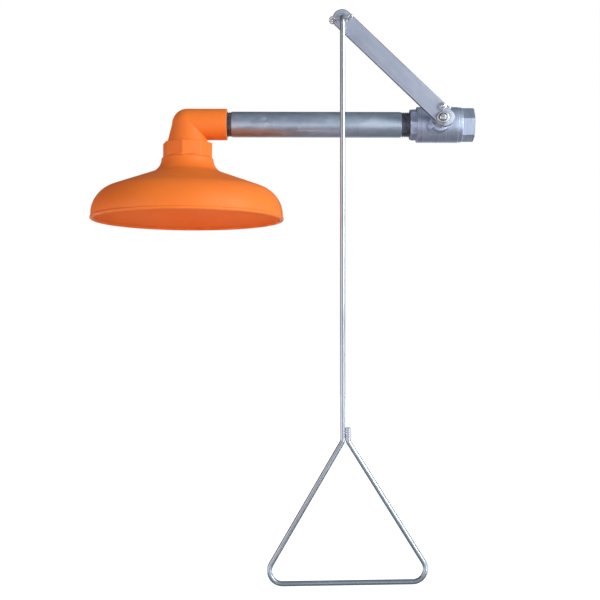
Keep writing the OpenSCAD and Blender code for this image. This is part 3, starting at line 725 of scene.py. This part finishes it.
def makeLever():
    s = lever
    bar = bmesh.new()
    bmesh.ops.create_circle(bar, cap_ends=True, segments=96, radius=s["width"] / 2)
    far = [v for v in bar.verts if v.co.x > -0.001]
    near = [v for v in bar.verts if v.co.x <= -0.001]
    bmesh.ops.translate(bar, vec=(s["length"], 0, s["back"]), verts=far)
    bmesh.ops.translate(bar, vec=(-s["tail"], 0, s["back"]), verts=near)
    grown = bmesh.ops.extrude_face_region(bar, geom=bar.faces[:])["geom"]
    bmesh.ops.translate(bar, vec=(0, 0, s["front"] - s["back"]),
                        verts=[g for g in grown if isinstance(g, bmesh.types.BMVert)])
    bmesh.ops.recalc_face_normals(bar, faces=bar.faces)
    bmesh.ops.bevel(bar, geom=[e for e in bar.edges if rise(e) < 0.01], offset=s["edge"],
                    segments=3, profile=0.5, affect="EDGES", material=-1)
    moved(bar, leverPlace)
    rodHolePlace = leverPlace @ Matrix.Translation((s["length"], 0, 0))
    holes = [rod(s["stemHole"], 30, 60, stemPlace(), 48), rod(s["stopHole"], 30, 60, stopPlace, 32),
             rod(s["rodHole"], 30, 60, rodHolePlace, 48)]
    part = joined(bar, *[("DIFFERENCE", h) for h in holes])
    part.normal_update()
    for face in part.faces:  # the cut edge of the bar is duller than its two faces, and its near-black colour is painted shade along the edge
        face.material_index = 0 if abs(face.normal.y) > 0.97 else 1
    finished("leverBar", part, [steelLever, leverEdgeShade], "lever", "stainless", "lever",
             crease=50, flatAbove=30)


# The stem that turns with the lever
stem = {
    "foot": 16.7, "collar": 7.5, "collarTop": 18.5, "radius": 5, "end": 57.4, "root": 3.4,
    "crest": 3.98, "ridgeWidth": 0.95, "turns": 8.9, "pitch": 1.07, "tang": (4.8, 14, 4.3),
}


def makeStem():
    s, back, front = stem, lever["back"], lever["front"]
    foot, collar, top, radius, end = (s[k] for k in ("foot", "collar", "collarTop", "radius", "end"))
    low = -boxOf("stem")[1].y
    shank = turned([(0, foot), (collar, foot, 0.3, 2), (collar, top, 0.3, 2), (radius, top),
                    (radius, back), (4.95, front - 0.2), (3.55, front), (3.7, end - 0.7),
                    (3.3, end, 0.25, 2), (0, end)], stemPlace(), 64, closed=False)
    tang = block(s["tang"], stemPlace() @ Matrix.Translation((0, 0, low + 2.15)), 0.3)
    ridge = coil(s["root"], s["crest"], s["ridgeWidth"], front + 0.9, s["turns"], s["pitch"],
                 stemPlace(), 40)
    part = joined(shank, ("UNION", tang))
    pour(part, ridge)
    finished("stemPin", part, [pinSteel], "lever", "stainless", "stem", crease=30)


# The lock washer and nut on the stem
leverNut = {
    "bore": 4.05, "washerOuter": 8.9, "washerFront": 48.35, "flat": 7.3, "back": 48.4,
    "front": 55.4, "turn": math.radians(12),
}


def makeLockWasher():
    inner, outer, front = leverNut["bore"] + 0.1, leverNut["washerOuter"], leverNut["washerFront"]
    back = lever["front"] + 0.05
    ring = turned([(inner, back, 0.12, 1), (outer, back, 0.25, 2), (outer, front, 0.35, 3),
                   (inner, front, 0.12, 1)], stemPlace(), 80)
    finished("lockWasher", ring, [fastener], "lever", "stainless", "lever_lock_washer",
             flatAbove=12)


def makeLeverNut():
    n = leverNut
    part = hexNut(n["flat"], n["back"], n["front"], n["bore"], stemPlace(n["turn"]), 0.9,
                  mouth=1.5)
    finished("leverNut", part, [fastener], "lever", "stainless", "lever_nut",
             crease=26, flatAbove=10)


# The stop screw and its nut, beside the stem
stop = {
    "head": 4.18, "radius": 2.45, "root": 2.05, "tip": 1.6, "threadRoot": 1.95,
    "threadCrest": 2.48, "ridgeWidth": 0.7, "turns": 4.9, "pitch": 0.8, "nutFlat": 4.375,
    "nutBore": 2.53, "nutTurn": math.radians(20),
}


def makeStop():
    s, back, front = stop, lever["back"], lever["front"]
    low, high = -boxOf("stop_screw")[1].y, -boxOf("stop_screw")[0].y
    headPart = prism(6, s["head"], low, back - 0.05, stopPlace, 0.2, edge=0.25, endEdge=0.25)
    shank = turned([(0, back - 1), (s["radius"], back - 1), (s["radius"], front),
                    (s["root"], front + 0.2), (s["root"], high - 0.5), (s["tip"], high, 0.15, 1),
                    (0, high)], stopPlace, 32, closed=False)
    ridge = coil(s["threadRoot"], s["threadCrest"], s["ridgeWidth"], front + 0.6, s["turns"],
                 s["pitch"], stopPlace, 28)
    part = joined(headPart, ("UNION", shank))
    pour(part, ridge)
    finished("stopScrew", part, [pinSteel], "lever", "stainless", "stop_screw", crease=26)
    nutLow, nutHigh = -boxOf("stop_nut")[1].y, -boxOf("stop_nut")[0].y
    nutPlace = stopPlace @ Matrix.Rotation(s["nutTurn"], 4, "Z")
    nut = hexNut(s["nutFlat"], nutLow, nutHigh, s["nutBore"], nutPlace, 0.55, True, 0.2, 0.4)
    finished("stopNut", nut, [fastener], "lever", "stainless", "stop_nut",
             crease=26, flatAbove=6)


makeGland()
makeLever()
makeStem()
makeLockWasher()
makeLeverNut()
makeStop()
print("valve and lever made")


# The pull rod, bent from one bar down to the triangle
pull = {
    "radius": 3.2, "topBend": 8, "tailEnd": 34.9, "front": 59.9, "drop": 709, "width": 217.5,
    "height": 174, "lean": math.radians(0.9), "corner": 16, "neck": 9, "stub": 17, "stubX": 6.6,
}


class Bender:  # a round bar that grows from one end face, as on a bending machine
    def __init__(self, radius, start, direction, sides=32):
        self.part = bmesh.new()
        turn = Vector(direction).to_track_quat("Z", "Y").to_matrix().to_4x4()
        bmesh.ops.create_circle(self.part, cap_ends=True, segments=sides, radius=radius,
                                matrix=Matrix.Translation(start) @ turn)
        self.end, self.started = self.part.faces[:], False
        self.at, self.way = Vector(start), Vector(direction).normalized()

    def grow(self):  # a new end face on the old one, which goes once it is inside the bar
        grown = bmesh.ops.extrude_face_region(self.part, geom=self.end)["geom"]
        if self.started:
            inside = [f for f in self.end if f.is_valid]
            bmesh.ops.delete(self.part, geom=inside, context="FACES_ONLY")
        self.started = True
        self.end = [g for g in grown if isinstance(g, bmesh.types.BMFace)]
        return [g for g in grown if isinstance(g, bmesh.types.BMVert)]

    def go(self, length, steps=1, grow=1.0):
        for _ in range(steps):
            step = self.way * (length / steps)
            verts = self.grow()
            bmesh.ops.translate(self.part, vec=step, verts=verts)
            self.at = self.at + step
            if grow != 1.0:
                bmesh.ops.scale(self.part, vec=(grow, grow, grow),
                                space=Matrix.Translation(-self.at), verts=verts)
        return self

    def bend(self, radius, axis, angle, steps=12):
        axis = Vector(axis).normalized()
        centre = self.at + axis.cross(self.way).normalized() * radius
        turn, step = Matrix.Rotation(angle, 3, axis), Matrix.Rotation(angle / steps, 3, axis)
        for _ in range(steps):
            bmesh.ops.rotate(self.part, cent=centre, matrix=step, verts=self.grow())
        self.at, self.way = centre + turn @ (self.at - centre), turn @ self.way
        return self


def rodCorners():  # the rod's neck, the triangle's two lower corners and its stub
    top = Vector((rodHole.x, -pull["front"], rodHole.z))
    neckZ = top.z - pull["drop"] + pull["height"]
    centre = Vector((top.x + pull["stubX"] / 2, top.y, neckZ))
    turn = Matrix.Rotation(-pull["lean"], 3, "Y")
    corners = [centre + turn @ Vector((side * pull["width"] / 2, 0, -pull["height"]))
               for side in (-1, 1)]
    neck = Vector((top.x, top.y, neckZ))
    return neck, corners[0], corners[1], neck + Vector((pull["stubX"], 0, 0))


def makePullRod():
    p = pull
    tail = Vector((rodHole.x, -p["tailEnd"], rodHole.z))
    bar = Bender(p["radius"] - 0.6, tail, (0, -1, 0)).go(0.6, 3, 1.073)  # a rounded end
    bar.go(p["front"] - p["topBend"] - p["tailEnd"] - 0.6)
    bar.bend(p["topBend"], (1, 0, 0), math.pi / 2, 16)
    neck, left, right, stub = rodCorners()
    line = [Vector((neck.x, neck.y, bar.at.z)), neck, left, right, stub,
            stub + Vector((0, 0, p["stub"]))]
    radii = [0, p["neck"], p["corner"], p["corner"], p["neck"], 0]
    for i in range(1, len(line)):
        into = (line[i] - bar.at).length
        if i < len(line) - 1:
            ahead = (line[i + 1] - line[i]).normalized()
            angle = bar.way.angle(ahead)
            leg = radii[i] * math.tan(angle / 2)
            bar.go(into - leg).bend(radii[i], bar.way.cross(ahead), angle, 14)
        else:
            bar.go(into - 0.5).go(0.5, 3, 0.935)
    finished("pullRod", tidy(bar.part), [steelRod], "pull_rod", "stainless", "pull_rod",
             crease=40)


# The weld between the stub and the neck, a row of beads on each side
weld = {"beads": 6, "inset": 1.6, "side": 1.75, "lean": 0.35, "size": (1.95, 1.45, 1.6)}


def makeWeld():
    low, high = boxOf("handle_weld")
    middle, inset, (wide, deep, tall) = (low + high) / 2, weld["inset"], weld["size"]
    part = bmesh.new()
    for side in (-1, 1):
        for i in range(weld["beads"]):
            bead = bmesh.new()
            bmesh.ops.create_uvsphere(bead, u_segments=24, v_segments=16, radius=1)
            z = low.z + inset + (high.z - low.z - 2 * inset) * i / (weld["beads"] - 1)
            size = Matrix.Diagonal((wide - 0.1 * (i % 2), deep, tall, 1))
            at = Matrix.Translation((middle.x, middle.y + side * weld["side"], z))
            pour(part, moved(bead, at @ Matrix.Rotation(weld["lean"], 4, "X") @ size))
    finished("weldBeads", part, [weldTint], "pull_rod", "stainless", "handle_weld")


rodWasher = {"bore": 3.3, "radius": 7, "thick": 1.5}


def makeRodWashers():
    low, high = boxOf("rod_washers")
    inner, outer, thick = rodWasher["bore"], rodWasher["radius"], rodWasher["thick"]
    place = Matrix.Translation((rodHole.x, 0, rodHole.z)) @ Matrix.Rotation(math.pi / 2, 4, "X")
    part = bmesh.new()
    for back in (-high.y, -low.y - thick):
        front = back + thick
        rows = [(inner, back, 0.15, 1), (outer, back, 0.3, 2), (outer, front, 0.35, 3),
                (inner, front, 0.2, 2)]
        pour(part, turned(rows, place, 64))
    finished("rodWashers", part, [fastener], "pull_rod", "stainless", "rod_washers",
             flatAbove=10)


# The split pins on both sides of the lever
pins = {
    "wire": 0.95, "eye": 2.95, "eyeAt": 12.8, "throat": 1.2, "legEnd": 7.2, "inset": 1.9,
    "tilt": math.radians(8), "lift": math.radians(55), "curl": math.radians(215),
    "spread": math.radians(48),
}


def makeSplitPins():
    low, high = boxOf("split_pins")
    part = bmesh.new()
    w, throat = pins["wire"], pins["throat"]
    gap = w * 0.82  # half the distance between the two legs
    close = math.acos((gap + throat) / (pins["eye"] + throat))  # where the eye meets the legs
    start = (pins["eye"] + throat) * math.sin(close) - pins["eyeAt"]
    for y in (low.y + pins["inset"], high.y - pins["inset"]):
        pin = bmesh.new()
        for side in (-1, 1):  # the two legs lie together in the rod and spread beyond it
            leg = Bender(w, Vector((start, 0, side * gap)), (1, 0, 0), 16)
            leg.go(pins["legEnd"] - start)
            if side > 0:
                leg.bend(2.4, (0, -1, 0), pins["lift"], 8).go(0.4)
                leg.bend(1.9, (0, 1, 0), pins["curl"], 18)
            else:
                leg.bend(2.6, (0, 1, 0), pins["spread"], 8).go(2.0)
            pour(pin, tidy(leg.part))
        eye = Bender(w, Vector((start, 0, gap)), (-1, 0, 0), 16)
        eye.bend(throat, (0, 1, 0), close, 6)
        eye.bend(pins["eye"], (0, -1, 0), math.pi + 2 * close, 28)
        eye.bend(throat, (0, 1, 0), close, 6)
        pour(pin, tidy(eye.part))
        place = Matrix.Translation((rodHole.x, y, rodHole.z))
        pour(part, moved(pin, place @ Matrix.Rotation(-pins["tilt"], 4, "Y")))
    finished("splitPins", part, [pinSteel], "pull_rod", "stainless", "split_pins", crease=40)


makePullRod()
makeWeld()
makeRodWashers()
makeSplitPins()
print("pull rod made")


# Pieces inside the fittings keep their CAD shape and get a finish
kept = {
    "elbow_gasket": blackRubber, "flow_control": whiteSeal, "flow_ring": blackRubber,
    "retainer_oring": blackRubber, "inlet_seat": whiteSeal, "outlet_seat": whiteSeal,
    "stem_thrust_washer": whiteSeal, "stem_packing": whiteSeal, "ball": chromedBall,
}
for node, material in kept.items():
    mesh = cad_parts[node].data
    mesh.materials.clear()
    mesh.materials.append(material)
print("inner pieces dressed")


# The camera's place and reach are in metres, and its angles in degrees.
view = {
    "at": (-0.2344, -1.6, -0.3071), "pitch": 2.79, "yaw": -0.30, "roll": 0.07, "lens": 74.13,
    "sensor": 36, "reach": 100,
}


def makeCamera():
    pitch, yaw, roll = (math.radians(view[k]) for k in ("pitch", "yaw", "roll"))
    ahead = Vector((-math.sin(yaw) * math.cos(pitch), math.cos(yaw) * math.cos(pitch),
                    math.sin(pitch)))
    right = Vector((math.cos(yaw), math.sin(yaw), 0))
    up = right.cross(ahead)
    side = right * math.cos(roll) + up * math.sin(roll)
    top = up * math.cos(roll) - right * math.sin(roll)
    data = bpy.data.cameras.new("camera")
    data.lens, data.sensor_width, data.clip_end = view["lens"], view["sensor"], view["reach"]
    camera = bpy.data.objects.new("camera", data)
    turn = Matrix((side, top, -ahead)).transposed().to_4x4()
    camera.matrix_world = Matrix.Translation(view["at"]) @ turn
    scene.collection.objects.link(camera)
    scene.camera = camera


# Each light has its place, its aim, its two sides, its watts, its colour and its spread.
centre = (-0.2, 0, -0.15)
lights = {
    "keySoftbox": ((1.5, -1.25, 0.5), centre, (0.9, 0.9), 5.1, (0.97, 1, 0.86), 55),
    "lowRightCard": ((1.5, -0.9, -0.75), (-0.37, 0, -0.1), (0.5, 0.5), 0.4, (1, 0.98, 0.96), 40),
    "rodStrip": ((0.98, -1.44, -0.35), (-0.17, 0, -0.35), (0.12, 1.6), 2.2, (1, 1, 1), 180),
    "bellCard": (
        (-0.62, -0.35, -1.0), (-0.373, 0.05, -0.1), (0.25, 0.25), 0.13, (1, 0.68, 0.62), 28),
    "leftCard": ((-1.9, -1.0, -0.1), centre, (1.4, 1.4), 5.6, (1, 0.7, 0.62), 120),
}


def makeLights():
    for name, (at, aim, size, watts, colour, spread) in lights.items():
        data = bpy.data.lights.new(name, "AREA")
        data.shape, data.size, data.size_y, data.energy = "RECTANGLE", *size, watts
        data.color, data.spread = colour, math.radians(spread)
        lamp = bpy.data.objects.new(name, data)
        lamp.location = at
        lamp.rotation_euler = (Vector(aim) - Vector(at)).to_track_quat("-Z", "Y").to_euler()
        scene.collection.objects.link(lamp)


# The room glows most on one side, and the backdrop itself is plain white.
room = {
    "colour": (0.88, 0.94, 1, 1), "brightSide": (0.72, -0.66, 0.1), "from": -0.5, "to": 0.95,
    "dim": 0.12, "lit": 0.56,
}


def makeRoom():
    world = bpy.data.worlds.new("studio")
    scene.world = world
    world.use_nodes = True
    tree = world.node_tree
    tree.nodes.clear()
    output, direction, facing, glow, rays, walls, card, mix = (
        tree.nodes.new("ShaderNode" + kind) for kind in (
            "OutputWorld", "TexCoord", "VectorMath", "MapRange", "LightPath", "Background",
            "Background", "MixShader"))
    card.inputs["Color"].default_value = (1, 1, 1, 1)
    walls.inputs["Color"].default_value = room["colour"]
    facing.operation = "DOT_PRODUCT"
    facing.inputs[1].default_value = Vector(room["brightSide"]).normalized()
    for i, key in enumerate(("from", "to", "dim", "lit")):
        glow.inputs[i + 1].default_value = room[key]
    link = tree.links.new
    link(direction.outputs["Generated"], facing.inputs[0])
    link(facing.outputs["Value"], glow.inputs[0])
    link(glow.outputs[0], walls.inputs["Strength"])
    link(rays.outputs["Is Camera Ray"], mix.inputs[0])
    link(walls.outputs[0], mix.inputs[1])
    link(card.outputs[0], mix.inputs[2])
    link(mix.outputs[0], output.inputs["Surface"])


ground = {"radius": 30, "level": -1.25, "glowFrom": 2.0, "glowTo": 3.4}


def makeFloor():
    part = bmesh.new()
    bmesh.ops.create_circle(part, cap_ends=True, segments=96, radius=ground["radius"])
    bmesh.ops.translate(part, vec=(0, 0, ground["level"]), verts=part.verts)
    mesh = bpy.data.meshes.new("floor")
    part.to_mesh(mesh)
    part.free()
    floor = bpy.data.objects.new("floor", mesh)
    pale = Finish("paleFloor", Roughness=0.8, Emission_Strength=1.0)
    away = pale.add("ShaderNodeVectorMath", {"operation": "LENGTH"}, [pale.place], "Value")
    reach = pale.fade(away, ground["glowFrom"], ground["glowTo"])
    glow = pale.blend(reach, tint(0, 0, 0), tint(1, 1, 1))  # the far floor melts into the backdrop
    pale.tree.links.new(glow.socket, pale.shader.inputs["Emission Color"])
    patches = pale.fade(pale.noise(3), 0.3, 0.7)
    shade = pale.blend(patches, tint(0.6, 0.6, 0.6), tint(0.64, 0.64, 0.64))
    mesh.materials.append(pale.dress(shade))
    scene.collection.objects.link(floor)


makeCamera()
makeLights()
makeRoom()
makeFloor()
scene.view_settings.view_transform = "Standard"
print("studio made")
